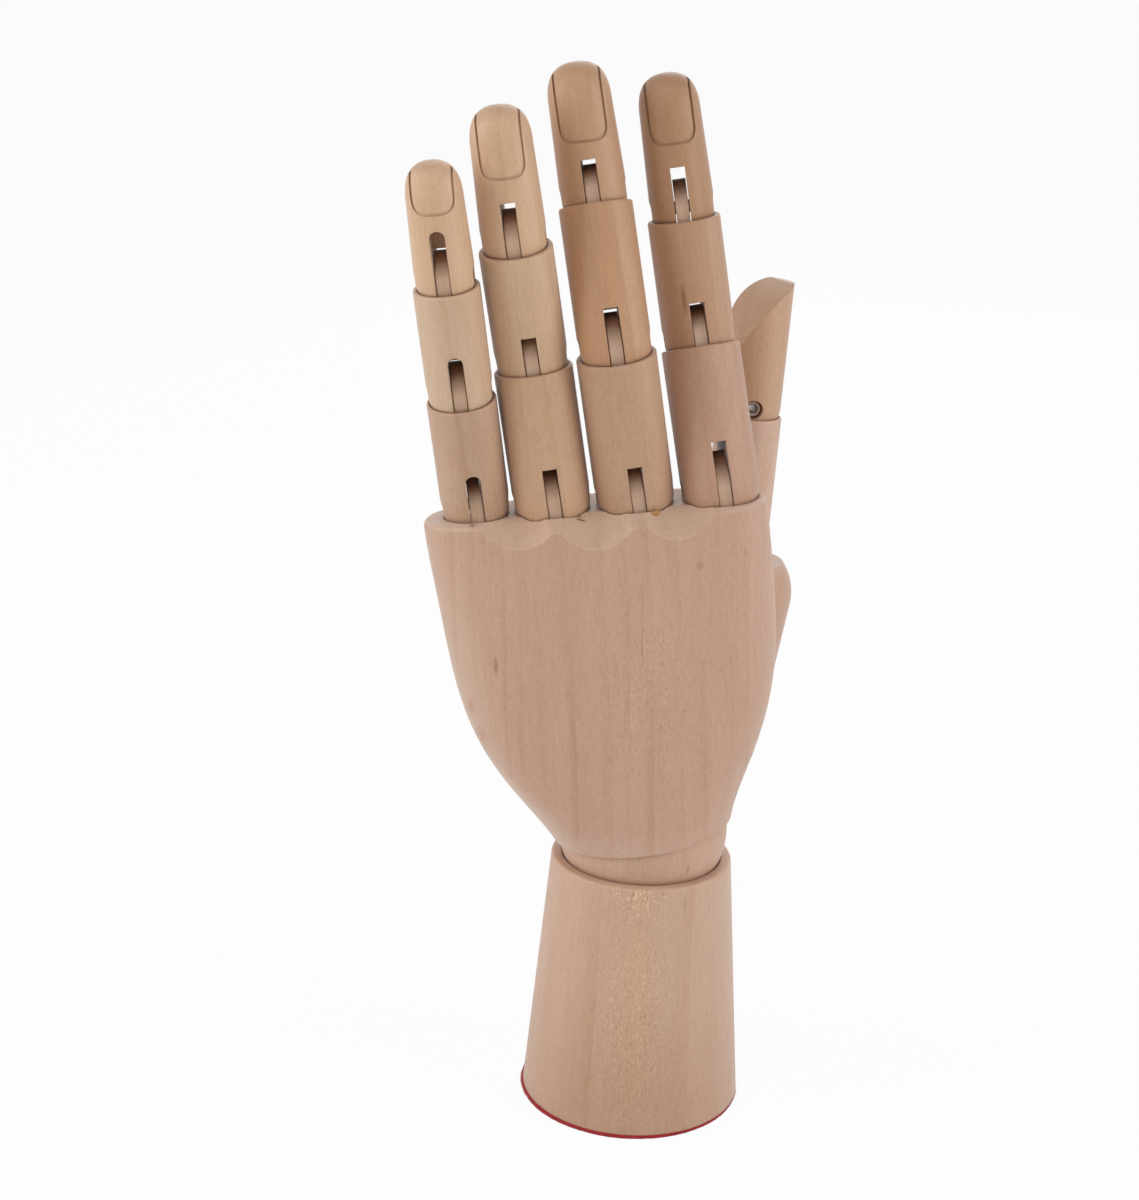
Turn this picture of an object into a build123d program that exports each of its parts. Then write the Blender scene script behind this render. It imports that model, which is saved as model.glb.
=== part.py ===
from build123d import *
from dataclasses import dataclass
from math import asin, cos, degrees, radians, sin
import os

# Jointed wooden hand on a turned foot. Millimetres, +Z up, origin under the felt at the foot's axis.
# The back of the hand faces -Y, the palm faces +Y and the thumb is on the +X side.

# Foot and felt
felt_thickness = 1.0
felt_inset = 0.2
foot_height = 62.4
foot_bottom_radius = 26.8
foot_top_radius = 21.8
foot_edge_round = 0.8

# Wrist ball and the cups that it turns in
ball_radius = 20.4
ball_rise = 7.1
ball_clearance = 0.3
ball_bore_radius = 7.0

# Tension spring through the ball, hooked on a bar in the foot and a pin in the palm
spring_bore_radius = 5.5
spring_radius = 3.0
spring_wire_radius = 0.6
spring_turns = 14
bar_radius = 1.4
bar_length = 15.0
bar_well_radius = 9.0
bar_depth = 42.0
palm_pin_height = 30.0
palm_pin_length = 24.0
palm_pin_recess = 2.0
hook_clearance = 0.05
pin_fit = 0.02

# Palm block, measured from the ball's centre along the leaning palm
palm_lean = 9.4
palm_swivel = 5.0
palm_lip = 1.0
palm_side_angle = 78.0
palm_top_round = 1.6
hollow_radius = 30.0
hollow_place = (-13.0, 44.0, 52.0)

# Knuckle line across the top of the palm
knuckle_height = 83.6
knuckle_slant = 3.5
knuckle_drop = 3.0
bevel_start = 9.6
bevel_angle = 31.0
scallop_start = 5.0
scallop_angle = 36.0
scallop_radius = 12.0

# Finger joints: a round fork end on a flat tongue, held by a hollow rivet
cup_clearance = 0.3
rim_drop = 2.5
rim_round = 0.5
relief_angle = 74.0
slot_width = 3.4
tongue_gap = 0.2
tongue_inset = 1.1
blind_clearance = 0.6
mortise_depth = 6.0
joint_twists = (3.0, -3.5, -3.5)
rivet_radius = 1.45
rivet_bore_radius = 1.0
rivet_head_radius = 2.0
rivet_head_height = 0.6
rivet_fit = 0.05
recess_radius = 2.3
recess_depth = 2.2

# Finger ends and engraved nails
tip_taper = 0.93
tip_dome = 8.5
nail_bottom_rise = 3.8
nail_groove_width = 0.55
nail_groove_depth = 0.32

# Thumb and its mound on the palm side of the block
thumb_out = 32.0
thumb_forward = 30.0
thumb_height = 59.2
thumb_splay = 12.0
thumb_proximal_radius = 8.0
thumb_proximal_length = 34.8
thumb_distal_radius = 7.5
thumb_distal_length = 30.2
thumb_headroom = 2.2
thumb_rim_drop = 3.5
thumb_tip_shoulder = 5.5
thumb_pad_height = 9.0
thumb_pad_bulge = 21.8
thumb_pad_bulge_out = 4.0
thumb_pad_turn = 28.0
mound_top = (31.0, 28.0, 47.2)
mound_top_radius = 13.5
mound_foot = (16.5, 7.0, 19.0)
mound_foot_radius = 14.0
mound_blend = 9.0

# Length of a cutter that has to reach clear of the piece it cuts
cutter_reach = 120.0


@dataclass
class PalmSection:
    """One level of the palm block: reach to each side, and half its thickness."""

    height: float
    pinky_side: float
    thumb_side: float
    half_depth: float


palm_sections = [
    PalmSection(0.0, 21.4, 21.4, 21.4),
    PalmSection(10.0, 27.0, 25.4, 21.0),
    PalmSection(25.0, 35.2, 32.4, 19.5),
    PalmSection(45.0, 39.8, 37.0, 17.2),
    PalmSection(65.0, 41.0, 38.0, 15.0),
    PalmSection(90.0, 40.7, 37.2, 13.5),
]


@dataclass
class Finger:
    """One finger: its knuckle's place and lean to the thumb, sizes of its three segments, and its nail."""

    across: float
    splay: float
    radii: tuple
    lengths: tuple
    bends: tuple
    headrooms: tuple
    blind_slots: bool
    nail_width: float
    nail_length: float


fingers = {
    "pinky": Finger(
        across=-29.1,
        splay=0.3,
        radii=(7.95, 7.5, 6.8),
        lengths=(28.9, 26.9, 25.8),
        bends=(-13.0, 2.0, 1.0),
        headrooms=(2.0, 2.2, 4.6),
        blind_slots=True,
        nail_width=9.4,
        nail_length=10.4,
    ),
    "ring": Finger(
        across=-11.4,
        splay=-0.7,
        radii=(9.0, 8.3, 7.4),
        lengths=(33.5, 28.7, 28.9),
        bends=(-3.0, -9.0, 10.0),
        headrooms=(1.2, 0.6, 2.2),
        blind_slots=False,
        nail_width=9.8,
        nail_length=15.4,
    ),
    "middle": Finger(
        across=7.8,
        splay=-1.2,
        radii=(9.15, 8.35, 7.6),
        lengths=(35.8, 33.8, 29.0),
        bends=(-7.0, 18.0, -10.0),
        headrooms=(1.0, 0.7, 1.6),
        blind_slots=False,
        nail_width=10.6,
        nail_length=17.2,
    ),
    "index": Finger(
        across=27.7,
        splay=-0.3,
        radii=(9.1, 8.3, 7.4),
        lengths=(34.7, 29.8, 29.9),
        bends=(12.0, -12.0, 1.0),
        headrooms=(2.2, 1.8, 3.2),
        blind_slots=False,
        nail_width=10.2,
        nail_length=15.5,
    ),
}
segment_names = ("proximal", "middle", "distal")
joint_names = ("knuckle", "mid", "tip")

# Levels and places that follow from the sizes above
foot_top = felt_thickness + foot_height
ball_height = foot_top + ball_rise
tongue_thickness = slot_width - 2 * tongue_gap
palm_place = Pos(0, 0, ball_height) * Rot(0, -palm_lean, 0) * Rot(0, 0, palm_swivel)
ball_place = Pos(0, 0, ball_height) * Rot(0, -palm_lean / 2, 0)
knuckle_line = palm_place * Pos(0, 0, knuckle_height) * Rot(0, knuckle_slant, 0)
upright_at_knuckles = Rot(0, -knuckle_slant, 0)
bottom_up = (Align.CENTER, Align.CENTER, Align.MIN)
top_down = (Align.CENTER, Align.CENTER, Align.MAX)
back_down = (Align.CENTER, Align.MAX, Align.MAX)
back_up = (Align.CENTER, Align.MAX, Align.MIN)

# Spring bar on the shoulder of its well, the pin across the palm's bore, and the spring's two ends
bar_seat = ball_height - bar_depth + bar_radius
bar_place = Pos(0, 0, ball_height - bar_depth) * Rot(90, 0, 0)
palm_pin_seat = Pos(0, palm_pin_recess - palm_pin_length / 2, palm_pin_height) * Rot(-90, 0, 0)
hook_reach = spring_radius - spring_wire_radius - bar_radius - hook_clearance
spring_low = Vector(0, 0, ball_height - bar_depth + hook_reach)
spring_high = (palm_place * Pos(0, 0, palm_pin_height - hook_reach)).position


def turned(edges):
    """Solid turned about Z from a half outline drawn in X and Z."""
    return revolve(Plane.XZ * make_face(edges), Axis.Z)


def round_ended(radius, reach):
    """Rod of a given radius with a hemisphere centred on the origin at its lower end."""
    return turned(
        [
            Line((0, reach), (0, -radius)),
            CenterArc((0, 0), radius, -90, 90),
            Line((radius, 0), (radius, reach)),
            Line((radius, reach), (0, reach)),
        ]
    )


def tongue_round(radius):
    """Radius of the tongue's round end inside a segment of this radius."""
    return radius - tongue_inset


def fork_cut(radius, headroom, blind=False):
    """What is taken from a segment's lower end: the tongue slot, the rivet hole and its two recesses.

    A blind slot is milled from the back with a round top, and only goes through beside the tongue.
    """
    roof = Pos(0, 0, tongue_round(radius) + headroom)
    if blind:
        through = Pos(0, 0, tongue_round(radius) + blind_clearance)
        slot = through * Box(slot_width, cutter_reach, cutter_reach, align=top_down)
        slot += roof * Box(slot_width, cutter_reach, cutter_reach, align=back_down)
        slot += roof * Rot(90, 0, 0) * Cylinder(slot_width / 2, cutter_reach, align=bottom_up)
    else:
        slot = roof * Box(slot_width, cutter_reach, cutter_reach, align=top_down)
    hole = Rot(0, 90, 0) * Cylinder(rivet_radius + rivet_fit, cutter_reach)
    recess = Pos(0, 0, radius - recess_depth) * Cylinder(recess_radius, cutter_reach, align=bottom_up)
    return slot + hole + [Rot(0, side, 0) * recess for side in (90, -90)]


def cup_cut(radius):
    """Cup for the next segment's round end, run out to the palm side so that it can bend over."""
    return Rot(-relief_angle, 0, 0) * round_ended(radius + cup_clearance, cutter_reach)


def tongue_depth(radius):
    """How far a tongue reaches below its rivet, to the bottom of its mortise."""
    return radius + cup_clearance + mortise_depth


def tongue_blank(radius):
    """Tongue without its hole: round end about the rivet, straight tail in the mortise."""
    reach = tongue_round(radius)
    outline = Circle(reach) + Pos(0, -tongue_depth(radius) / 2) * Rectangle(2 * reach, tongue_depth(radius))
    return extrude(Plane.YZ * outline, tongue_thickness / 2, both=True)


def tongue(radius):
    """Flat wooden tongue, pierced for the rivet."""
    return tongue_blank(radius) - Rot(0, 90, 0) * Cylinder(rivet_radius + rivet_fit, cutter_reach)


def rivet(radius):
    """Hollow tubular rivet across a segment of this radius, with a rolled head in each recess."""
    seat = radius - recess_depth
    top = seat + rivet_head_height
    roll = rivet_head_height / 2
    half = [
        Line((rivet_bore_radius, 0), (rivet_bore_radius, top - roll)),
        CenterArc((rivet_bore_radius + roll, top - roll), roll, 90, 90),
        Line((rivet_bore_radius + roll, top), (rivet_head_radius - roll, top)),
        CenterArc((rivet_head_radius - roll, seat + roll), roll, -90, 180),
        Line((rivet_head_radius - roll, seat), (rivet_radius, seat)),
        Line((rivet_radius, seat), (rivet_radius, 0)),
        Line((rivet_radius, 0), (rivet_bore_radius, 0)),
    ]
    end = turned(half)
    return Rot(0, 90, 0) * (end + mirror(end, Plane.XY))


def segment(radius, length, fork, next_radius, next_twist=0.0):
    """Turned finger piece with a fork at its own rivet and a cup, rim and mortise at the next one."""
    rim = length - rim_drop
    body = turned(
        [
            Line((0, rim), (0, -radius)),
            CenterArc((0, 0), radius, -90, 90),
            Line((radius, 0), (radius, rim - rim_round)),
            CenterArc((radius - rim_round, rim - rim_round), rim_round, 0, 90),
            Line((radius - rim_round, rim), (0, rim)),
        ]
    )
    upper_end = Pos(0, 0, length) * Rot(0, 0, next_twist)
    return body - fork - upper_end * cup_cut(next_radius) - upper_end * tongue_blank(next_radius)


def tip_body(radius, length):
    """Turned finger end with a round lower end, a slight taper and a domed tip."""
    shoulder = tip_taper * radius
    return turned(
        [
            Line((0, length), (0, -radius)),
            CenterArc((0, 0), radius, -90, 90),
            Line((radius, 0), (shoulder, length - tip_dome)),
            Spline((shoulder, length - tip_dome), (0, length), tangents=((0, 1), (-1, 0))),
        ]
    )


def nail_outline(width, length, tip):
    """U-shaped nail, open at the fingertip, seen from the back of the hand."""
    half = width / 2
    top = tip + half
    bottom = tip - length
    corner = bottom + nail_bottom_rise
    return make_face(
        [
            Line((half, corner), (half, top)),
            Line((half, top), (-half, top)),
            Line((-half, top), (-half, corner)),
            Spline((-half, corner), (0, bottom), (half, corner), tangents=((0, -1), (0, 1))),
        ]
    )


def fingertip(radius, length, fork, nail_width, nail_length):
    """Distal finger piece with its fork and the groove cut round its nail."""
    outer = nail_outline(nail_width, nail_length, length)
    inner = nail_outline(nail_width - 2 * nail_groove_width, nail_length - nail_groove_width, length)
    band = extrude(Plane.XZ * (outer - inner), cutter_reach)
    groove = band - tip_body(radius - nail_groove_depth, length - nail_groove_depth)
    return tip_body(radius, length) - groove - fork


def thumb_end():
    """Distal thumb piece: straight along the nail side, sanded off in a curve on the pad side."""
    radius = thumb_distal_radius
    length = thumb_distal_length
    far = cutter_reach
    side = make_face(
        [
            Line((-far, -far), (-far, length)),
            Line((-far, length), (-thumb_tip_shoulder, length)),
            ThreePointArc(
                (-thumb_tip_shoulder, length),
                (thumb_pad_bulge_out, thumb_pad_bulge),
                (radius, thumb_pad_height),
            ),
            Line((radius, thumb_pad_height), (far, thumb_pad_height)),
            Line((far, thumb_pad_height), (far, -far)),
            Line((far, -far), (-far, -far)),
        ]
    )
    nose = Rot(0, 0, thumb_pad_turn) * extrude(Plane.YZ * side, far, both=True)
    return (round_ended(radius, length + radius) & nose) - fork_cut(radius, thumb_headroom)


def oval(section):
    """Palm outline at one level, from two flat arcs and two tight side arcs."""
    half_width = (section.pinky_side + section.thumb_side) / 2
    turn = radians(palm_side_angle)
    share = (1 - sin(turn)) / cos(turn)
    side_radius = (section.half_depth - share * half_width) / (1 - share)
    flat_radius = (half_width - side_radius * (1 - cos(turn))) / cos(turn)
    x = flat_radius * cos(turn)
    y = side_radius * sin(turn)
    outline = make_face(
        [
            ThreePointArc((x, -y), (half_width, 0), (x, y)),
            ThreePointArc((x, y), (0, section.half_depth), (-x, y)),
            ThreePointArc((-x, y), (-half_width, 0), (-x, -y)),
            ThreePointArc((-x, -y), (0, -section.half_depth), (x, -y)),
        ]
    )
    return Pos((section.thumb_side - section.pinky_side) / 2, 0, section.height) * outline


def thumb_mound():
    """Rounded mound that carries the thumb: a tapered rod with a ball at each end."""
    axis = Vector(*mound_top) - Vector(*mound_foot)
    span = axis.length
    tilt = asin((mound_foot_radius - mound_top_radius) / span)
    foot_edge = (mound_foot_radius * cos(tilt), mound_foot_radius * sin(tilt))
    top_edge = (mound_top_radius * cos(tilt), span + mound_top_radius * sin(tilt))
    rod = turned(
        [
            Line((0, span + mound_top_radius), (0, -mound_foot_radius)),
            CenterArc((0, 0), mound_foot_radius, -90, 90 + degrees(tilt)),
            Line(foot_edge, top_edge),
            CenterArc((0, span), mound_top_radius, degrees(tilt), 90 - degrees(tilt)),
        ]
    )
    return Plane(origin=mound_foot, z_dir=axis) * rod


def palm_block(thumb_socket, knuckles):
    """Palm carved from one block, in the palm's own upright frame."""
    plate = loft([oval(section) for section in palm_sections])
    face = Pos(0, 0, knuckle_height) * Rot(0, knuckle_slant, 0) * Pos(0, 0, -knuckle_drop)
    plate -= face * Box(cutter_reach, cutter_reach, cutter_reach, align=bottom_up)
    top_face = plate.faces().sort_by(Axis.Z)[-1]
    plate = fillet(top_face.edges(), palm_top_round)
    wedge = Box(cutter_reach, cutter_reach, cutter_reach, align=back_up)
    plate -= face * Pos(0, -bevel_start, 0) * Rot(bevel_angle, 0, 0) * wedge
    across = [finger.across for finger in fingers.values()]
    for left, right in zip(across, across[1:]):
        groove = face * Pos((left + right) / 2, -scallop_start, 0) * Rot(scallop_angle, 0, 0)
        plate -= groove * Pos(0, 0, scallop_radius) * Rot(90, 0, 0) * Cylinder(scallop_radius, cutter_reach)
    above_rim = Cylinder(cutter_reach, cutter_reach, align=bottom_up)
    mound = thumb_mound() - thumb_socket * Pos(0, 0, -thumb_rim_drop) * above_rim
    block = plate + mound
    block = fillet(new_edges(plate, mound, combined=block), mound_blend)
    block -= Pos(hollow_place) * Sphere(hollow_radius)
    block -= Pos(0, 0, palm_lip) * Box(cutter_reach, cutter_reach, cutter_reach, align=top_down)
    block -= Sphere(ball_radius + ball_clearance)
    block -= Cylinder(spring_bore_radius, palm_pin_height + spring_bore_radius, align=bottom_up)
    block -= palm_pin_seat * Cylinder(bar_radius + pin_fit, cutter_reach, align=bottom_up)
    block -= thumb_socket * Sphere(thumb_proximal_radius + cup_clearance)
    block -= thumb_socket * tongue_blank(thumb_proximal_radius)
    for finger, knuckle in zip(fingers.values(), knuckles):
        block -= knuckle * cup_cut(finger.radii[0])
        block -= knuckle * tongue_blank(finger.radii[0])
    return block


def foot():
    """Turned foot with the ball's cup, the spring's bore and a well for the spring bar."""
    lower = felt_thickness
    slope = (foot_bottom_radius - foot_top_radius) / foot_height
    upper_edge = foot_top_radius + slope * foot_edge_round
    body = turned(
        [
            Line((0, foot_top), (0, lower)),
            Line((0, lower), (foot_bottom_radius, lower)),
            Line((foot_bottom_radius, lower), (upper_edge, foot_top - foot_edge_round)),
            CenterArc((upper_edge - foot_edge_round, foot_top - foot_edge_round), foot_edge_round, 0, 90),
            Line((upper_edge - foot_edge_round, foot_top), (0, foot_top)),
        ]
    )
    body -= Pos(0, 0, ball_height) * Sphere(ball_radius + ball_clearance)
    body -= Pos(0, 0, bar_seat) * Cylinder(spring_bore_radius, foot_height, align=bottom_up)
    return body - Pos(0, 0, lower) * Cylinder(bar_well_radius, bar_seat - lower, align=bottom_up)


def spring(low, high):
    """Tension spring between two points, with a half-round hook below the first and above the second."""
    axis = high - low
    coil = Helix(axis.length / spring_turns, axis.length, spring_radius)
    wire = sweep(Plane(origin=coil @ 0, z_dir=coil % 0) * Circle(spring_wire_radius), coil)
    ring_wire = Plane.XY * Pos(spring_radius, 0) * Circle(spring_wire_radius)
    hook = revolve(ring_wire, Axis.Y, 180)
    upper_hook = Pos(0, 0, axis.length) * mirror(hook, Plane.XY)
    return Plane(origin=low, x_dir=(1, 0, 0), z_dir=axis) * (wire + hook + upper_hook)


# Where every segment's own rivet stands, as a frame with the rivet along X and the palm side along +Y
places = {}
knuckles = []
for name, finger in fingers.items():
    knuckle = knuckle_line * Pos(finger.across, 0, 0) * upright_at_knuckles * Rot(0, finger.splay, 0)
    upper_end = knuckle
    for index, part_name in enumerate(segment_names):
        lower = upper_end * Rot(0, 0, joint_twists[index])
        bent = lower * Rot(-finger.bends[index], 0, 0)
        places[f"{name}_{part_name}"] = (lower, bent)
        upper_end = bent * Pos(0, 0, finger.lengths[index])
    knuckles.append(palm_place.inverse() * places[f"{name}_{segment_names[0]}"][0])
thumb_socket = Pos(thumb_out, thumb_forward, thumb_height) * Rot(0, thumb_splay, 0) * Rot(0, 0, 90)
thumb_base = palm_place * thumb_socket
thumb_knuckle = thumb_base * Pos(0, 0, thumb_proximal_length)
places["thumb_proximal"] = (thumb_base, thumb_base)
places["thumb_distal"] = (thumb_knuckle, thumb_knuckle)

nodes = {
    "felt_pad": Cylinder(foot_bottom_radius - felt_inset, felt_thickness, align=bottom_up),
    "base_cone": foot(),
    "base_spring_pin": bar_place * Cylinder(bar_radius, bar_length),
    "wrist_ball": ball_place * (Sphere(ball_radius) - Cylinder(ball_bore_radius, cutter_reach)),
    "wrist_spring": spring(spring_low, spring_high),
    "palm_spring_pin": palm_place * palm_pin_seat * Cylinder(bar_radius, palm_pin_length, align=bottom_up),
    "palm": palm_place * palm_block(thumb_socket, knuckles),
}
for name, finger in fingers.items():
    for index, part_name in enumerate(segment_names):
        radius = finger.radii[index]
        lower, bent = places[f"{name}_{part_name}"]
        nodes[f"{name}_{joint_names[index]}_tongue"] = lower * tongue(radius)
        nodes[f"{name}_{joint_names[index]}_rivet"] = bent * rivet(radius)
        length = finger.lengths[index]
        fork = fork_cut(radius, finger.headrooms[index], finger.blind_slots)
        if part_name == "distal":
            piece = fingertip(radius, length, fork, finger.nail_width, finger.nail_length)
        else:
            piece = segment(radius, length, fork, finger.radii[index + 1], joint_twists[index + 1])
        nodes[f"{name}_{part_name}"] = bent * piece
nodes["thumb_base_tongue"] = thumb_base * tongue(thumb_proximal_radius)
nodes["thumb_base_rivet"] = thumb_base * rivet(thumb_proximal_radius)
thumb_fork = fork_cut(thumb_proximal_radius, thumb_headroom)
thumb_post = segment(thumb_proximal_radius, thumb_proximal_length, thumb_fork, thumb_distal_radius)
nodes["thumb_proximal"] = thumb_base * thumb_post
nodes["thumb_tip_tongue"] = thumb_knuckle * tongue(thumb_distal_radius)
nodes["thumb_tip_rivet"] = thumb_knuckle * rivet(thumb_distal_radius)
nodes["thumb_distal"] = thumb_knuckle * thumb_end()

os.makedirs("parts", exist_ok=True)
for name, solid in nodes.items():
    export_step(solid, f"parts/{name}.step")
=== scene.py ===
import math
from collections import namedtuple

import bmesh
import bpy
import numpy as np
from bpy.props import FloatProperty, FloatVectorProperty, IntProperty, PointerProperty
from bpy.types import Operator, Panel, PropertyGroup
from mathutils import Matrix, Vector, noise


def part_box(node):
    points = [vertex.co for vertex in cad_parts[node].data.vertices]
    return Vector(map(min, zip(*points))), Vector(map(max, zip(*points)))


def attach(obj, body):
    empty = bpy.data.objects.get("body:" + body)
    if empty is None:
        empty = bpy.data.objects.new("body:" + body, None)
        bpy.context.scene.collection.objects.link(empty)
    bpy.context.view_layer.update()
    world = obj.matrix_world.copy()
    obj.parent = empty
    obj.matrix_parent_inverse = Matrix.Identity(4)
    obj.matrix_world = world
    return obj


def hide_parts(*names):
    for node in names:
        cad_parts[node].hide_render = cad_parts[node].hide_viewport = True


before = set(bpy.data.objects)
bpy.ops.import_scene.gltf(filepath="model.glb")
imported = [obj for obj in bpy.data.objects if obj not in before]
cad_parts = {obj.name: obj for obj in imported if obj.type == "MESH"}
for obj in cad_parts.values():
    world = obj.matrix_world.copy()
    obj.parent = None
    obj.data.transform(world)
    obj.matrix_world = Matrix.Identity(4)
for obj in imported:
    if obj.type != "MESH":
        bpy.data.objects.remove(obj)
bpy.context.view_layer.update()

bl_info = {
    "name": "Jointed wooden hand",
    "version": (1, 0, 0),
    "blender": (4, 5, 0),
    "location": "3D View > Sidebar > Wooden hand",
    "description": "Finishes the jointed wooden hand and sets it in a plain studio",
    "category": "Object",
}

MM = 0.001
NOISE_SEED = 7
# Numbers that give every piece a grain of its own. Fingers and tongues count up from theirs.
PALM_SEED = 1
FINGER_SEED = 2
TONGUE_SEED = 30
FOOT_SEED = 50
BALL_SEED = 51
CHIP_SEED = 60
# Sockets of a colour Mix node: its two colours and its result
MIX_FIRST = 6
MIX_SECOND = 7
MIX_RESULT = 2

# A stain in the wood: its centre and half sizes in millimetres, the tint it multiplies by, and its share.
Mark = namedtuple("Mark", "centre radii tint share")
# A patch of torn fibres: its centre and half sizes in millimetres, and its strength.
Tear = namedtuple("Tear", "centre radii share")
# Tint by how far a face points along the grain, for end grain and for painted light and shade: where its
# tint starts and where it is full, and the tint.
Cut = namedtuple("Cut", "low high tint")
# Noise drawn out along the grain: its width and length in millimetres, its detail, and the ends of its mask.
Streak = namedtuple("Streak", "width length detail low high")
# A colour that the wood's own is multiplied by, and how much of it shows.
Tint = namedtuple("Tint", "colour share")
# A chip of wood: where it lies, the way it points, and its length and width, in millimetres.
Chip = namedtuple("Chip", "place along length width")
# A square lamp: its place and side in metres, and the property that holds its power.
Softbox = namedtuple("Softbox", "name place side power")


def linear(hex_colour):
    """Linear RGB of an sRGB hex colour."""
    values = [int(hex_colour[i:i + 2], 16) / 255 for i in (0, 2, 4)]
    return tuple(v / 12.92 if v <= 0.04045 else ((v + 0.055) / 1.055) ** 2.4 for v in values)


# End grain of most pieces; end grain with painted shade on the tongues' rounded tops under the slots' roofs;
# painted light on the palm's faces that turn up or down, such as the sloped scallops
PLAIN_CUT = Cut(0.8, 1.0, (0.93, 0.89, 0.85))
TONGUE_END_GRAIN_AND_SHADE = Cut(0.15, 0.8, (0.40, 0.29, 0.23))
PALM_PAINTED_LIGHT = Cut(0.35, 0.55, (1.10, 1.22, 1.26))
MARKS = {
    "palm": (
        # Small stains and a knot on the back and the pinky's edge
        Mark((10.1, -11.3, 140.1), (1.3, 4.0, 1.4), (0.80, 0.69, 0.56), 0.7),
        Mark((20.4, -8.0, 143.0), (0.6, 4.0, 1.8), (0.86, 0.77, 0.68), 0.6),
        Mark((-35.6, -16.1, 115.0), (0.7, 4.0, 2.8), (0.62, 0.47, 0.38), 0.8),
        Mark((-41.5, -11.5, 103.1), (1.3, 5.0, 2.6), (0.84, 0.66, 0.58), 0.7),
        Mark((-38.7, -11.8, 96.1), (1.8, 5.0, 3.4), (0.88, 0.70, 0.62), 0.7),
        # Thin dark streaks along the middle
        Mark((-2.2, -15.9, 121.2), (0.22, 4.0, 5.0), (0.62, 0.50, 0.42), 0.7),
        Mark((-2.6, -14.9, 131.0), (0.3, 4.0, 9.0), (0.80, 0.72, 0.66), 0.5),
        # Painted light: paler at the wrist's rim, where light from the floor falls on the rounded lower
        # edge, and a painted pale sheen along both edges
        Mark((0.0, -21.0, 71.5), (26.0, 30.0, 6.5), (1.06, 1.10, 1.13), 0.9),
        Mark((-42.0, -5.0, 112.0), (16.0, 24.0, 52.0), (1.06, 1.15, 1.20), 0.9),
        Mark((38.0, -2.0, 112.0), (16.0, 24.0, 52.0), (1.05, 1.09, 1.09), 0.9),
    ),
    "wrist_ball": (Mark((11.2, -16.6, 67.0), (0.35, 3.0, 1.9), (0.62, 0.48, 0.38), 0.8),),
    "base_cone": (
        # A dark streak at the rim, painted shade that darkens the bottom, and a yellower band up the front
        Mark((11.0, -19.2, 58.9), (0.35, 3.0, 3.4), (0.72, 0.60, 0.50), 0.6),
        Mark((0.0, -26.0, 0.0), (60.0, 60.0, 38.0), (0.84, 0.79, 0.74), 0.9),
        Mark((0.5, -24.0, 36.0), (5.0, 8.0, 34.0), (1.03, 0.99, 0.91), 0.8),
    ),
    "index_middle": (Mark((3.2, 1.5, 198.6), (0.8, 3.0, 4.5), (0.60, 0.45, 0.34), 0.8),),
}
TEARS = {
    "palm": (Tear((0.0, -17.0, 112.0), (16.0, 9.0, 36.0), 0.6),),
    "base_cone": (Tear((-0.5, -22.0, 60.0), (8.0, 8.0, 6.0), 1.0),
                  Tear((0.0, -22.5, 61.6), (17.0, 7.0, 1.8), 1.0),
                  Tear((0.5, -24.0, 30.0), (14.0, 10.0, 44.0), 0.9)),
    "pinky_proximal": (Tear((-46.0, -9.0, 158.0), (9.0, 9.0, 12.0), 0.5),),
}
CHIPS = (
    Chip((-42.3, -12.2, 147.1), (0.9, -0.3, 0.1), 1.4, 0.9),
    Chip((-42.5, -10.9, 147.3), (0.2, -0.9, 0.1), 0.8, 0.6),
    Chip((-17.7, -7.9, 148.6), (0.93, 0.1, -0.3), 2.3, 0.5),
    Chip((-18.0, -7.2, 149.1), (1.0, 0.1, -0.2), 1.0, 0.4),
)
GLUE_BEAD = Chip((-0.9, -7.4, 150.9), (0.9, 0.2, 0.25), 2.6, 1.3)

# Wood colour of every turned or carved piece. The fingers were cut from several sticks.
WOODS = {
    "palm": linear("C9A48D"),
    "base_cone": linear("CFAC94"),
    "wrist_ball": linear("CDA991"),
    "pinky_proximal": linear("C2A086"),
    "pinky_middle": linear("D2B397"),
    "pinky_distal": linear("D8B493"),
    "ring_proximal": linear("CDA98A"),
    "ring_middle": linear("D2B191"),
    "ring_distal": linear("D4AF8E"),
    "middle_proximal": linear("C29D80"),
    "middle_middle": linear("C39671"),
    "middle_distal": linear("C29876"),
    "index_proximal": linear("C09880"),
    "index_middle": linear("BD9375"),
    "index_distal": linear("B38967"),
    "thumb_proximal": linear("D6B49D"),
    "thumb_distal": linear("C9A283"),
}


def add(tree, kind, sockets=None, **settings):
    """Adds a node, sets its settings, and fills its sockets with values or links."""
    made = tree.nodes.new(kind)
    for name, value in settings.items():
        setattr(made, name, value)
    for name, value in (sockets or {}).items():
        if isinstance(value, bpy.types.NodeSocket):
            tree.links.new(value, made.inputs[name])
        else:
            made.inputs[name].default_value = value
    return made


def new_material(name):
    """An empty node material with its shader and output joined."""
    made = bpy.data.materials.new(name)
    made.use_nodes = True
    tree = made.node_tree
    tree.nodes.clear()
    shader = add(tree, "ShaderNodeBsdfPrincipled")
    add(tree, "ShaderNodeOutputMaterial", {"Surface": shader.outputs["BSDF"]})
    return made, tree, shader


def dress(node, material):
    """Gives a CAD node one material."""
    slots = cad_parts[node].data.materials
    slots.clear()
    slots.append(material)


def long_axis(node):
    """The direction in which a node is longest, pointing up."""
    points = np.array([vertex.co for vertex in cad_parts[node].data.vertices])
    points -= points.mean(0)
    axis = Vector(np.linalg.svd(points, full_matrices=False)[2][0])
    return axis if axis.z > 0 else -axis


def skin(shape, rings):
    """Joins rings of corners in turn, and closes the first and the last."""
    for lower, upper in zip(rings, rings[1:]):
        for corner in range(len(lower)):
            after = (corner + 1) % len(lower)
            shape.faces.new((lower[corner], lower[after], upper[after], upper[corner]))
    shape.faces.new(list(reversed(rings[0])))
    shape.faces.new(rings[-1])


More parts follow.
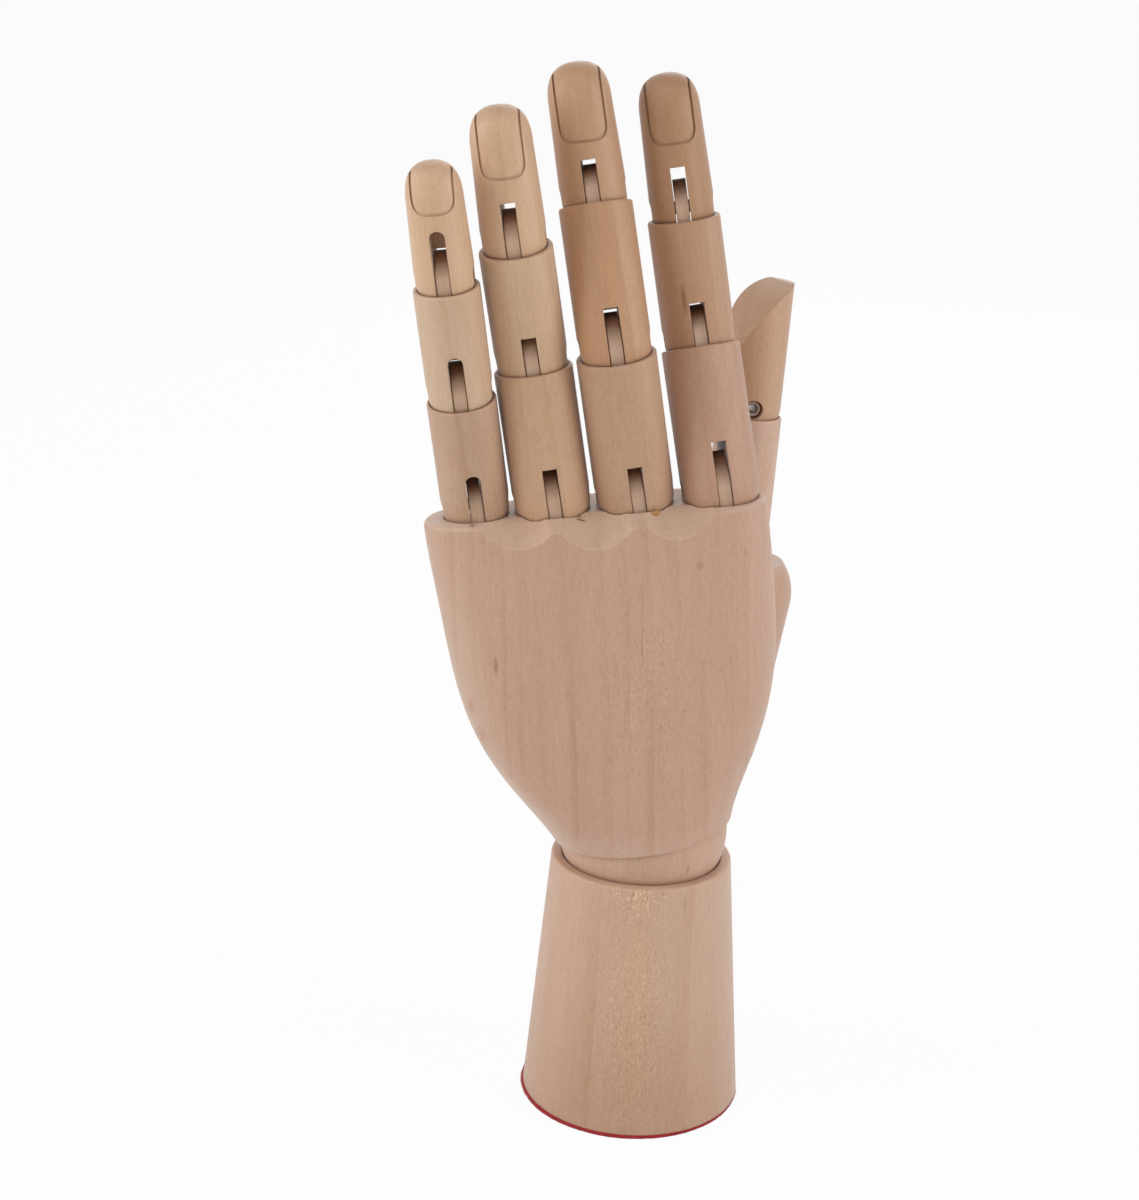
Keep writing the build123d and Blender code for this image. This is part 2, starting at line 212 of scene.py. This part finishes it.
def new_piece(name, shape, material, body):
    """Makes a smooth object from a bmesh, with its one material, which rides on a body."""
    bmesh.ops.recalc_face_normals(shape, faces=shape.faces)
    mesh = bpy.data.meshes.new(name)
    shape.to_mesh(mesh)
    shape.free()
    mesh.shade_smooth()
    mesh.materials.append(material)
    made = bpy.data.objects.new(name, mesh)
    bpy.context.scene.collection.objects.link(made)
    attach(made, body)
    return made


class HandFinish(PropertyGroup):
    """Sizes of the wood's grain and of the felt, and the colours of what isn't turned or carved."""

    ring_width: FloatProperty(
        name="Growth ring", description="Width of a growth ring", unit="LENGTH", default=5.6 * MM)
    fibre_width: FloatProperty(
        name="Fibre", description="Width of a fibre streak", unit="LENGTH", default=0.55 * MM)
    pore_length: FloatProperty(
        name="Pore", description="Length of a pore fleck", unit="LENGTH", default=2.2 * MM)
    edge_round: FloatProperty(
        name="Edge", description="Radius to which sanding has rounded the edges", unit="LENGTH",
        default=0.4 * MM)
    # Painted shade: this width sets how far the crevices are darkened to stand for the shade that falls in
    # them
    painted_crevice_shade: FloatProperty(
        name="Crevice", description="Width to which saw burns and dust darken the crevices", unit="LENGTH",
        default=2.4 * MM)
    tongue: FloatVectorProperty(
        name="Tongues", description="Wood of the joint tongues", subtype="COLOR", default=linear("DABDA4"))
    steel: FloatVectorProperty(
        name="Steel", description="Rivets, spring and pins", subtype="COLOR", default=linear("8C7A70"))
    felt: FloatVectorProperty(
        name="Felt", description="Felt under the foot", subtype="COLOR", default=linear("B3202A"))
    felt_wave: FloatProperty(
        name="Felt wave", description="How far the cut edge of the felt wanders", unit="LENGTH",
        default=0.16 * MM)
    felt_spread: FloatProperty(
        name="Felt spread", description="How far pressing has spread the felt past its cut size",
        unit="LENGTH", default=0.5 * MM)
    felt_shift: FloatProperty(
        name="Felt shift", description="How far the felt was laid off the foot's axis", unit="LENGTH",
        default=-0.3 * MM)
    felt_hairs: IntProperty(
        name="Felt hairs", description="Number of loose hairs round the edge of the felt", default=700)
    hair_length: FloatProperty(
        name="Hair", description="Length of a loose hair", unit="LENGTH", default=0.5 * MM)


class HandStudio(PropertyGroup):
    """Sizes and strengths of the stage."""

    floor_size: FloatProperty(
        name="Floor", description="Side of the floor", unit="LENGTH", default=24.0)
    side_power: FloatProperty(
        name="Side lamps", description="Power of each side softbox", unit="POWER", default=7.2)
    front_power: FloatProperty(
        name="Front lamp", description="Power of the softbox above the camera", unit="POWER", default=3.8)
    back_power: FloatProperty(
        name="Back lamp", description="Power of the softbox behind the hand", unit="POWER", default=4.0)
    fill: FloatProperty(
        name="Fill", description="Strength of the even light all round", default=0.17)
    lens: FloatProperty(
        name="Lens", description="Focal length on a 36 mm sensor, in millimetres", default=66.0)


class WoodShader:
    """Draws one piece of close-grained pale wood, fine sanded and unvarnished."""

    # Steps and spans that set every piece at another place of the pattern
    shifts = ((37.0, 61.0), (53.0, 67.0), (71.0, 83.0))
    # Width of one band of a wave texture at scale 1
    band_width = 0.31416
    # How far the growth rings are drawn out along the grain
    ring_stretch = 40
    # How high a lifted fleck stands, against the depth of a pore
    lift = 3.0
    # Patterns of the wood, from the broadest to the finest
    slow = Streak(24.0, 120.0, 2.0, 0.35, 0.65)
    ring_patches = Streak(9.0, 160.0, 1.0, 0.44, 0.66)
    bands = Streak(5.0, 240.0, 2.0, 0.35, 0.70)
    lifted = Streak(0.55, 0.9, 2.0, 0.52, 0.66)
    flecks = Streak(0.45, 1.3, 2.0, 0.55, 0.68)
    gaps = Streak(0.35, 1.5, 2.0, 0.60, 0.72)
    # Tints of the patterns, the fibres and pores, the painted highlight on the edges and the painted shade
    # in the crevices
    slow_tint = Tint((1.0, 0.965, 0.93), 0.8)
    band_tint = Tint((0.935, 0.905, 0.88), 0.7)
    ring_tint = Tint((0.86, 0.79, 0.72), 0.65)
    fibre_tint = Tint((0.93, 0.90, 0.87), 0.7)
    fleck_tint = Tint((1.11, 1.11, 1.09), 0.8)
    pore_tint = Tint((0.70, 0.60, 0.52), 0.5)
    lifted_tint = Tint((1.22, 1.24, 1.13), 1.0)
    gap_tint = Tint((0.68, 0.54, 0.42), 0.9)
    painted_edge_highlight_tint = Tint((1.32, 1.30, 1.25), 0.9)
    painted_crevice_shade_tint = Tint((0.50, 0.36, 0.27), 0.55)

    def __init__(self, name, colour, along, seed, cut=PLAIN_CUT):
        finish = bpy.context.scene.hand_finish
        self.material, self.tree, self.shader = new_material(name)
        self.place = add(self.tree, "ShaderNodeTexCoord").outputs["Object"]
        self.turn = along.rotation_difference(Vector((0, 0, 1))).to_euler()
        self.grain = add(self.tree, "ShaderNodeMapping", {
            "Vector": self.place,
            "Location": [seed * step % span for step, span in self.shifts],
            "Rotation": self.turn,
            "Scale": (1 / MM, 1 / MM, 1 / MM),
        }).outputs["Vector"]
        self.fibre = self.streaks(Streak(
            width=finish.fibre_width / MM, length=14.0, detail=3.0, low=0.35, high=0.70))
        self.pores = self.streaks(Streak(
            width=0.3, length=finish.pore_length / MM, detail=2.0, low=0.61, high=0.74))
        self.height = add(self.tree, "ShaderNodeMath", {0: self.fibre, 1: self.pores}, operation="ADD")
        self.tone = self.grow(colour, finish.ring_width / MM)
        self.end_grain_and_painted_light(along, cut)

    def streaks(self, streak):
        """Mask of noise drawn out along the grain."""
        drawn = add(self.tree, "ShaderNodeMapping", {
            "Vector": self.grain,
            "Scale": (1 / streak.width, 1 / streak.width, 1 / streak.length)}).outputs["Vector"]
        pattern = add(self.tree, "ShaderNodeTexNoise", {
            "Vector": drawn, "Scale": 1.0, "Detail": streak.detail})
        return add(self.tree, "ShaderNodeMapRange", {
            "Value": pattern.outputs["Fac"],
            "From Min": streak.low, "From Max": streak.high}).outputs["Result"]

    def times(self, mask, share):
        """A mask times a number or another mask."""
        return add(self.tree, "ShaderNodeMath", {0: mask, 1: share}, operation="MULTIPLY").outputs["Value"]

    def stain(self, under, mask, tint):
        """Multiplies a colour by a tint where a mask says so."""
        mix = add(self.tree, "ShaderNodeMix", data_type="RGBA", blend_type="MULTIPLY")
        self.tree.links.new(self.times(mask, tint.share), mix.inputs["Factor"])
        if isinstance(under, bpy.types.NodeSocket):
            self.tree.links.new(under, mix.inputs[MIX_FIRST])
        else:
            mix.inputs[MIX_FIRST].default_value = (*under, 1)
        mix.inputs[MIX_SECOND].default_value = (*tint.colour, 1)
        return mix.outputs[MIX_RESULT]

    def spot(self, centre, radii):
        """Mask that is 1 about a point and fades out at its half sizes, in millimetres."""
        offset = add(self.tree, "ShaderNodeVectorMath", {
            0: self.place, 1: [value * MM for value in centre]}, operation="SUBTRACT")
        turned = add(self.tree, "ShaderNodeMapping", {
            "Vector": offset.outputs["Vector"], "Rotation": self.turn}).outputs["Vector"]
        spread = add(self.tree, "ShaderNodeVectorMath", {
            0: turned, 1: [1 / (radius * MM) for radius in radii]}, operation="MULTIPLY")
        reach = add(self.tree, "ShaderNodeVectorMath", {0: spread.outputs["Vector"]}, operation="LENGTH")
        return add(self.tree, "ShaderNodeMapRange", {
            "Value": reach.outputs["Value"], "From Min": 1.0, "From Max": 0.25}).outputs["Result"]

    def grow(self, colour, ring_width):
        """Slow changes of tone, growth rings that darken to a sharp edge, fibres and pores."""
        step = ring_width / self.band_width
        ring_place = add(self.tree, "ShaderNodeMapping", {
            "Vector": self.grain,
            "Scale": (1 / step, 1 / step, 1 / (step * self.ring_stretch))}).outputs["Vector"]
        wave = add(self.tree, "ShaderNodeTexWave", {
            "Vector": ring_place, "Scale": 1.0, "Distortion": 6.0, "Detail": 1.0, "Detail Scale": 1.3},
            wave_type="BANDS", bands_direction="X", wave_profile="SAW")
        rings = add(self.tree, "ShaderNodeMapRange", {
            "Value": wave.outputs["Fac"], "From Min": 0.62, "From Max": 1.0}).outputs["Result"]
        presence = self.streaks(self.ring_patches)
        tone = self.stain(colour, self.streaks(self.slow), self.slow_tint)
        tone = self.stain(tone, self.streaks(self.bands), self.band_tint)
        tone = self.stain(tone, self.times(rings, presence), self.ring_tint)
        tone = self.stain(tone, self.fibre, self.fibre_tint)
        tone = self.stain(tone, self.streaks(self.flecks), self.fleck_tint)
        return self.stain(tone, self.pores, self.pore_tint)

    def end_grain_and_painted_light(self, along, cut):
        """Changes the tone of faces that point along the grain: end grain on most pieces, painted light on
        the palm's upward and downward faces, and end grain with painted shade on the tongues' tops.
        """
        facing = add(self.tree, "ShaderNodeVectorMath", {
            0: add(self.tree, "ShaderNodeTexCoord").outputs["Normal"], 1: along}, operation="DOT_PRODUCT")
        across = add(self.tree, "ShaderNodeMath", {0: facing.outputs["Value"]}, operation="ABSOLUTE")
        mask = add(self.tree, "ShaderNodeMapRange", {
            "Value": across.outputs["Value"], "From Min": cut.low, "From Max": cut.high}).outputs["Result"]
        self.tone = self.stain(self.tone, mask, Tint(cut.tint, 1.0))

    def mark(self, mark):
        """Adds a knot or a stain."""
        spot = self.spot(mark.centre, mark.radii)
        self.tone = self.stain(self.tone, spot, Tint(mark.tint, mark.share))

    def tear(self, tear):
        """Adds a patch where the tool tore the fibres: pale lifted flecks and short dark gaps."""
        patch = self.times(self.spot(tear.centre, tear.radii), tear.share)
        lifted = self.times(self.streaks(self.lifted), patch)
        gaps = self.times(self.streaks(self.gaps), patch)
        self.tone = self.stain(self.tone, lifted, self.lifted_tint)
        self.tone = self.stain(self.tone, gaps, self.gap_tint)
        rough = add(self.tree, "ShaderNodeMath", {0: lifted, 1: -self.lift}, operation="MULTIPLY")
        self.height = add(self.tree, "ShaderNodeMath", {
            0: self.height.outputs["Value"], 1: rough.outputs["Value"]}, operation="ADD")

    def finish(self):
        """Joins tone, sheen and relief to the shader, rounds the edges as sanding does, and paints a
        highlight along the edges and shade in the crevices.
        """
        finish = bpy.context.scene.hand_finish
        rounded = add(self.tree, "ShaderNodeBevel", {
            "Radius": finish.edge_round}, samples=4).outputs["Normal"]
        # Painted highlight: edges are made paler where the rounded normal turns away from the flat one
        flat = add(self.tree, "ShaderNodeNewGeometry").outputs["Normal"]
        same = add(self.tree, "ShaderNodeVectorMath", {0: rounded, 1: flat}, operation="DOT_PRODUCT")
        painted_edge_highlight = add(self.tree, "ShaderNodeMapRange", {
            "Value": same.outputs["Value"], "From Min": 0.995, "From Max": 0.88}).outputs["Result"]
        tone = self.stain(self.tone, painted_edge_highlight, self.painted_edge_highlight_tint)
        # Painted shade: crevices, slots and cups are darkened where other surfaces lie near, as shade falls
        # there
        nearby = add(self.tree, "ShaderNodeAmbientOcclusion", {"Distance": finish.painted_crevice_shade}, samples=8)
        painted_crevice_shade = add(self.tree, "ShaderNodeMapRange", {
            "Value": nearby.outputs["AO"], "From Min": 0.75, "From Max": 0.2}).outputs["Result"]
        tone = self.stain(tone, painted_crevice_shade, self.painted_crevice_shade_tint)
        dull = add(self.tree, "ShaderNodeMapRange", {
            "Value": self.fibre, "To Min": 0.46, "To Max": 0.58}).outputs["Result"]
        relief = add(self.tree, "ShaderNodeBump", {
            "Height": self.height.outputs["Value"], "Strength": 0.25, "Distance": 0.06 * MM,
            "Normal": rounded}, invert=True)
        self.tree.links.new(tone, self.shader.inputs["Base Color"])
        self.tree.links.new(dull, self.shader.inputs["Roughness"])
        self.tree.links.new(relief.outputs["Normal"], self.shader.inputs["Normal"])
        self.shader.inputs["Specular IOR Level"].default_value = 0.5
        self.shader.inputs["Sheen Weight"].default_value = 0.34
        self.shader.inputs["Sheen Roughness"].default_value = 0.45
        return self.material


def sanded_limewood(node, along, seed, colour=None, cut=PLAIN_CUT):
    """Close-grained pale wood, turned or carved and fine sanded, without varnish.

    It gives the eye soft stripes of growth along the piece, fine fibre streaks, short pore flecks that
    turn to dots on end grain, a dull even sheen, a painted highlight along the edges and painted shade in
    the crevices.
    """
    wood = WoodShader(f"sanded_limewood_{node}", colour or WOODS[node], along, seed, cut)
    for mark in MARKS.get(node, ()):
        wood.mark(mark)
    for tear in TEARS.get(node, ()):
        wood.tear(tear)
    return wood.finish()


def plated_steel(name, colour):
    """Plated steel of rivets, spring and pins: a metal whose gleam is finely uneven."""
    material, tree, shader = new_material(name)
    place = add(tree, "ShaderNodeTexCoord").outputs["Object"]
    scratch = add(tree, "ShaderNodeTexNoise", {"Vector": place, "Scale": 2.5 / MM, "Detail": 3.0})
    dull = add(tree, "ShaderNodeMapRange", {
        "Value": scratch.outputs["Fac"], "To Min": 0.25, "To Max": 0.45}).outputs["Result"]
    shader.inputs["Base Color"].default_value = (*colour, 1)
    shader.inputs["Metallic"].default_value = 1.0
    tree.links.new(dull, shader.inputs["Roughness"])
    return material


def pressed_felt(name, colour):
    """Pressed wool felt: a dull red nap with lighter and darker tufts."""
    dark_share = 0.6
    material, tree, shader = new_material(name)
    place = add(tree, "ShaderNodeTexCoord").outputs["Object"]
    nap = add(tree, "ShaderNodeTexNoise", {"Vector": place, "Scale": 1.6 / MM, "Detail": 4.0})
    mask = add(tree, "ShaderNodeMapRange", {
        "Value": nap.outputs["Fac"], "From Min": 0.35, "From Max": 0.65}).outputs["Result"]
    mix = add(tree, "ShaderNodeMix", {"Factor": mask}, data_type="RGBA")
    mix.inputs[MIX_FIRST].default_value = (*(dark_share * value for value in colour), 1)
    mix.inputs[MIX_SECOND].default_value = (*colour, 1)
    tree.links.new(mix.outputs[MIX_RESULT], shader.inputs["Base Color"])
    shader.inputs["Roughness"].default_value = 0.95
    shader.inputs["Sheen Weight"].default_value = 0.3
    bump = add(tree, "ShaderNodeBump", {
        "Height": nap.outputs["Fac"], "Strength": 0.6, "Distance": 0.3 * MM})
    tree.links.new(bump.outputs["Normal"], shader.inputs["Normal"])
    return material


def dried_glue(name):
    """Dried wood glue: a clear amber drop with a small bright gleam."""
    material, _, shader = new_material(name)
    shader.inputs["Base Color"].default_value = (*linear("CF9A5C"), 1)
    shader.inputs["Roughness"].default_value = 0.2
    shader.inputs["Transmission Weight"].default_value = 0.35
    return material


class HAND_OT_palm(Operator):
    """Finish the palm"""

    bl_idname = "hand.palm"
    bl_label = "Palm"

    # Way the palm's grain runs
    grain = (-0.07, 0.0, 1.0)

    def execute(self, context):
        along = Vector(self.grain).normalized()
        # The palm's tint by facing is painted light on its faces that turn up or down
        dress("palm", sanded_limewood("palm", along, PALM_SEED, cut=PALM_PAINTED_LIGHT))
        return {"FINISHED"}


class HAND_OT_chips(Operator):
    """Make the torn chips and the bead of glue at the knuckle cups"""

    bl_idname = "hand.chips"
    bl_label = "Chips and glue"

    # Stations of a chip: the share of its length, and its width and thickness there as shares of its width
    stations = ((0.0, 0.05, 0.04), (0.2, 0.7, 0.3), (0.55, 1.0, 0.45), (0.85, 0.6, 0.3), (1.0, 0.08, 0.05))
    # How far its end bends up, as a share of its width
    curl = 0.25
    torn_wood = linear("9C6C48")
    # Height of the bead's lumps as a share of its size, and how close they lie
    lumps = 0.18
    lump_rate = 1.7

    def execute(self, context):
        shape = bmesh.new()
        for chip in CHIPS:
            self.chip(shape, chip)
        wood = WoodShader("torn_limewood", self.torn_wood, Vector((1, 0, 0)), CHIP_SEED).finish()
        new_piece("torn_chips", shape, wood, "palm")
        shape = bmesh.new()
        self.bead(shape, GLUE_BEAD)
        new_piece("glue_bead", shape, dried_glue("dried_glue"), "palm")
        return {"FINISHED"}

    def chip(self, shape, chip):
        """A closed sliver, thickest in its middle and slightly bent up at its end."""
        along = Vector(chip.along).normalized()
        side = along.cross(Vector((0, 0, 1))).normalized()
        rise = side.cross(along)
        rings = []
        for share, width, thick in self.stations:
            bend = rise * self.curl * chip.width * share ** 2
            middle = Vector(chip.place) + along * (share - 0.5) * chip.length + bend
            corners = (side * width, rise * thick, -side * width, -rise * thick)
            rings.append([shape.verts.new((middle + corner * chip.width / 2) * MM) for corner in corners])
        skin(shape, rings)

    def bead(self, shape, bead):
        """A drop with an uneven outline, half sunk in the corner that it filled."""
        along = Vector(bead.along).normalized()
        lie = along.to_track_quat("X", "Z").to_matrix()
        bmesh.ops.create_icosphere(shape, subdivisions=4, radius=1.0)
        for vertex in shape.verts:
            uneven = 1.0 + self.lumps * noise.noise(vertex.co * self.lump_rate)
            size = Vector((bead.length, bead.width, bead.width)) / 2
            vertex.co = (Vector(bead.place) + lie @ (vertex.co * size * uneven)) * MM


class HAND_OT_fingers(Operator):
    """Finish the segments of the fingers and the thumb"""

    bl_idname = "hand.fingers"
    bl_label = "Fingers and thumb"

    def execute(self, context):
        segments = [node for node in WOODS if node.split("_")[-1] in ("proximal", "middle", "distal")]
        for seed, node in enumerate(segments, FINGER_SEED):
            dress(node, sanded_limewood(node, long_axis(node), seed))
        return {"FINISHED"}


class HAND_OT_tongues(Operator):
    """Finish the flat tongues inside the joints"""

    bl_idname = "hand.tongues"
    bl_label = "Joint tongues"

    def execute(self, context):
        colour = context.scene.hand_finish.tongue
        tongues = sorted(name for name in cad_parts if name.endswith("_tongue"))
        for seed, node in enumerate(tongues, TONGUE_SEED):
            # The tongues' tint by facing darkens their rounded tops: end grain and painted shade under the
            # slots' roofs
            dress(node, sanded_limewood(node, long_axis(node), seed, colour, TONGUE_END_GRAIN_AND_SHADE))
        return {"FINISHED"}


class HAND_OT_foot(Operator):
    """Finish the turned foot and the wrist ball"""

    bl_idname = "hand.foot"
    bl_label = "Foot and ball"

    def execute(self, context):
        up = Vector((0, 0, 1))
        dress("base_cone", sanded_limewood("base_cone", up, FOOT_SEED))
        dress("wrist_ball", sanded_limewood("wrist_ball", up, BALL_SEED))
        return {"FINISHED"}


class HAND_OT_metal(Operator):
    """Finish the rivets, the spring and its pins"""

    bl_idname = "hand.metal"
    bl_label = "Rivets and spring"

    def execute(self, context):
        steel = plated_steel("plated_steel", context.scene.hand_finish.steel)
        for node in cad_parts:
            if node.endswith("_rivet") or "spring" in node:
                dress(node, steel)
        return {"FINISHED"}


class HAND_OT_felt(Operator):
    """Make the felt under the foot, with its wandering cut edge and loose hairs"""

    bl_idname = "hand.felt"
    bl_label = "Felt"

    # Number of corners round the felt's edge
    steps = 240
    # Edge of the felt from its underside to its top: inset and height, as shares of its thickness
    profile = ((0.45, 0.0), (0.12, 0.1), (0.0, 0.45), (0.06, 0.8), (0.3, 0.98))
    # Waves of the cut edge: how close they lie, and their height against the first
    waves = ((4.0, 1.0), (17.0, 0.6))
    # Half width of a hair's root, and the three corners of the root in half widths
    hair_root = 0.04 * MM
    hair_corners = ((-1, -0.6), (1, -0.6), (0, 1))
    # Lowest root, spread of the roots above it and least gap of a tip to a face, in thicknesses
    hair_low = 0.2
    hair_spread = 0.55
    hair_margin = 0.05
    # How far hairs lean, and the shortest as a share of the longest
    hair_lean = 1.6
    hair_least = 0.4

    def execute(self, context):
        finish = context.scene.hand_finish
        low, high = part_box("felt_pad")
        thickness = high[2] - low[2]
        radius = (high[0] - low[0]) / 2 + finish.felt_spread
        shape = bmesh.new()
        self.disc(shape, radius, thickness, finish.felt_wave)
        self.hairs(shape, radius, thickness, finish)
        bmesh.ops.translate(shape, verts=shape.verts, vec=(finish.felt_shift, 0.0, 0.0))
        material = pressed_felt("pressed_felt", finish.felt)
        felt = new_piece("felt", shape, material, "base")
        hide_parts("felt_pad")
        return {"FINISHED"}

    def edge(self, angle, wave):
        """How far the cut edge strays at one angle."""
        out = Vector((math.cos(angle), math.sin(angle), 0.0))
        return wave * sum(height * noise.noise(out * rate) for rate, height in self.waves)

    def disc(self, shape, radius, thickness, wave):
        """A closed disc with a soft edge."""
        rings = []
        for inset, rise in self.profile:
            ring = []
            for step in range(self.steps):
                angle = 2 * math.pi * step / self.steps
                reach = radius + self.edge(angle, wave) - inset * thickness
                ring.append(shape.verts.new((
                    reach * math.cos(angle), reach * math.sin(angle), rise * thickness)))
            rings.append(ring)
        skin(shape, rings)

    def hairs(self, shape, radius, thickness, finish):
        """Loose hairs round the edge, each a thin closed spike with its root in the felt."""
        root = self.hair_root
        for number in range(finish.felt_hairs):
            angle = 2 * math.pi * (number + noise.random()) / finish.felt_hairs
            out = Vector((math.cos(angle), math.sin(angle), 0.0))
            side = Vector((-out.y, out.x, 0.0))
            height = thickness * (self.hair_low + self.hair_spread * noise.random())
            start = out * (radius + self.edge(angle, finish.felt_wave) - 2 * root) + Vector((0, 0, height))
            lean = side * (noise.random() - 0.5) + Vector((0, 0, 0.5 * (noise.random() - 0.5)))
            share = self.hair_least + (1 - self.hair_least) * noise.random()
            tip = start + (out + lean * self.hair_lean).normalized() * finish.hair_length * share
            tip.z = min(max(tip.z, self.hair_margin * thickness), (1 - self.hair_margin) * thickness)
            corners = [shape.verts.new(start + side * root * x + Vector((0, 0, root * z)))
                       for x, z in self.hair_corners]
            point = shape.verts.new(tip)
            shape.faces.new(corners)
            for first, second in ((0, 1), (1, 2), (2, 0)):
                shape.faces.new((corners[first], corners[second], point))


def hang(softbox, target, power):
    """Adds a square area lamp that faces a point."""
    light = bpy.data.lights.new(softbox.name, "AREA")
    light.shape = "SQUARE"
    light.size = softbox.side
    light.energy = power
    made = bpy.data.objects.new(softbox.name, light)
    made.location = softbox.place
    facing = Vector(target) - Vector(softbox.place)
    made.rotation_euler = facing.to_track_quat("-Z", "Y").to_euler()
    bpy.context.scene.collection.objects.link(made)


def white_to_eye(tree, shadowed, share):
    """Mixes plain white into a shader for camera, glossy and transmitted rays only."""
    rays = add(tree, "ShaderNodeLightPath")
    seen = add(tree, "ShaderNodeMath", {
        0: rays.outputs["Is Camera Ray"], 1: rays.outputs["Is Glossy Ray"]}, operation="MAXIMUM")
    seen = add(tree, "ShaderNodeMath", {
        0: seen.outputs["Value"], 1: rays.outputs["Is Transmission Ray"]}, operation="MAXIMUM")
    amount = add(tree, "ShaderNodeMath", {0: seen.outputs["Value"], 1: share}, operation="MULTIPLY")
    white = add(tree, "ShaderNodeEmission", {"Color": (1, 1, 1, 1), "Strength": 1.0})
    return add(tree, "ShaderNodeMixShader", {
        0: amount.outputs["Value"], 1: shadowed, 2: white.outputs["Emission"]}).outputs["Shader"]


class HAND_OT_studio(Operator):
    """Set the floor, the soft light and the camera"""

    bl_idname = "hand.studio"
    bl_label = "Studio"

    # Lamps, and the point that they face, in metres
    lamps = (
        Softbox("lamp_left", (-1.1, -0.35, 0.5), 0.8, "side_power"),
        Softbox("lamp_right", (1.1, -0.35, 0.5), 0.8, "side_power"),
        Softbox("lamp_front", (-0.25, -0.9, 1.0), 0.9, "front_power"),
        Softbox("lamp_back", (0.2, 1.1, 0.8), 0.9, "back_power"),
    )
    aim = (0.0, 0.0, 0.13)
    # Colour of the paper, and the share of plain white that it shows
    paper_colour = linear("F4F4F4")
    paper_white = 0.95
    # Camera fitted to the photograph: its place in millimetres, and its turns about Z, X and Y in degrees
    camera_place = (-0.03, -492.85, 283.76)
    camera_turns = (2.308, -17.662, -2.281)

    def execute(self, context):
        studio = context.scene.hand_studio
        self.floor(studio)
        self.world(context.scene, studio)
        for lamp in self.lamps:
            hang(lamp, self.aim, getattr(studio, lamp.power))
        self.camera(context.scene, studio)
        context.scene.view_settings.view_transform = "Standard"
        return {"FINISHED"}

    def floor(self, studio):
        """White paper that shows as white but keeps the object's shadow."""
        shape = bmesh.new()
        bmesh.ops.create_grid(shape, x_segments=1, y_segments=1, size=studio.floor_size / 2)
        mesh = bpy.data.meshes.new("floor")
        shape.to_mesh(mesh)
        shape.free()
        made = bpy.data.objects.new("floor", mesh)
        bpy.context.scene.collection.objects.link(made)
        material, tree, shader = new_material("white_paper")
        shader.inputs["Base Color"].default_value = (*self.paper_colour, 1)
        shader.inputs["Roughness"].default_value = 0.9
        output = next(node for node in tree.nodes if node.type == "OUTPUT_MATERIAL")
        shown = white_to_eye(tree, shader.outputs["BSDF"], self.paper_white)
        tree.links.new(shown, output.inputs["Surface"])
        mesh.materials.append(material)

    def world(self, scene, studio):
        """Even light all round, seen as white."""
        world = bpy.data.worlds.new("studio")
        scene.world = world
        world.use_nodes = True
        tree = world.node_tree
        tree.nodes.clear()
        even = add(tree, "ShaderNodeBackground", {"Color": (1, 1, 1, 1), "Strength": studio.fill})
        shown = white_to_eye(tree, even.outputs["Background"], 1.0)
        add(tree, "ShaderNodeOutputWorld", {"Surface": shown})

    def camera(self, scene, studio):
        """A camera at the photograph's angle, a little above the fingers and looking down."""
        camera = bpy.data.cameras.new("camera")
        camera.lens = studio.lens
        camera.sensor_width = 36.0
        camera.clip_end = 100.0
        made = bpy.data.objects.new("camera", camera)
        about_z, about_x, about_y = (math.radians(angle) for angle in self.camera_turns)
        turn = (Matrix.Rotation(about_z, 3, "Z")
                @ Matrix.Rotation(about_x, 3, "X")
                @ Matrix.Rotation(about_y, 3, "Y"))
        right, forward, up = turn.col
        facing = Matrix((right, up, -forward)).transposed().to_4x4()
        made.matrix_world = Matrix.Translation(Vector(self.camera_place) * MM) @ facing
        scene.collection.objects.link(made)
        scene.camera = made


PIECES = (HAND_OT_palm, HAND_OT_chips, HAND_OT_fingers, HAND_OT_tongues, HAND_OT_foot, HAND_OT_metal,
          HAND_OT_felt)


class HAND_PT_panel(Panel):
    """Lists the finishing steps"""

    bl_idname = "HAND_PT_panel"
    bl_label = "Wooden hand"
    bl_space_type = "VIEW_3D"
    bl_region_type = "UI"
    bl_category = "Wooden hand"

    def draw(self, context):
        for group in (context.scene.hand_finish, context.scene.hand_studio):
            for name in group.__annotations__:
                self.layout.prop(group, name)
        for piece in (*PIECES, HAND_OT_studio):
            self.layout.operator(piece.bl_idname)


CLASSES = (HandFinish, HandStudio, *PIECES, HAND_OT_studio, HAND_PT_panel)


def register():
    for cls in CLASSES:
        bpy.utils.register_class(cls)
    bpy.types.Scene.hand_finish = PointerProperty(type=HandFinish)
    bpy.types.Scene.hand_studio = PointerProperty(type=HandStudio)


def unregister():
    del bpy.types.Scene.hand_studio
    del bpy.types.Scene.hand_finish
    for cls in reversed(CLASSES):
        bpy.utils.unregister_class(cls)


def main():
    register()
    noise.seed_set(NOISE_SEED)
    bpy.ops.hand.palm()
    bpy.ops.hand.chips()
    bpy.ops.hand.fingers()
    bpy.ops.hand.tongues()
    bpy.ops.hand.foot()
    bpy.ops.hand.metal()
    bpy.ops.hand.felt()
    bpy.ops.hand.studio()


if __name__ == "__main__":
    main()
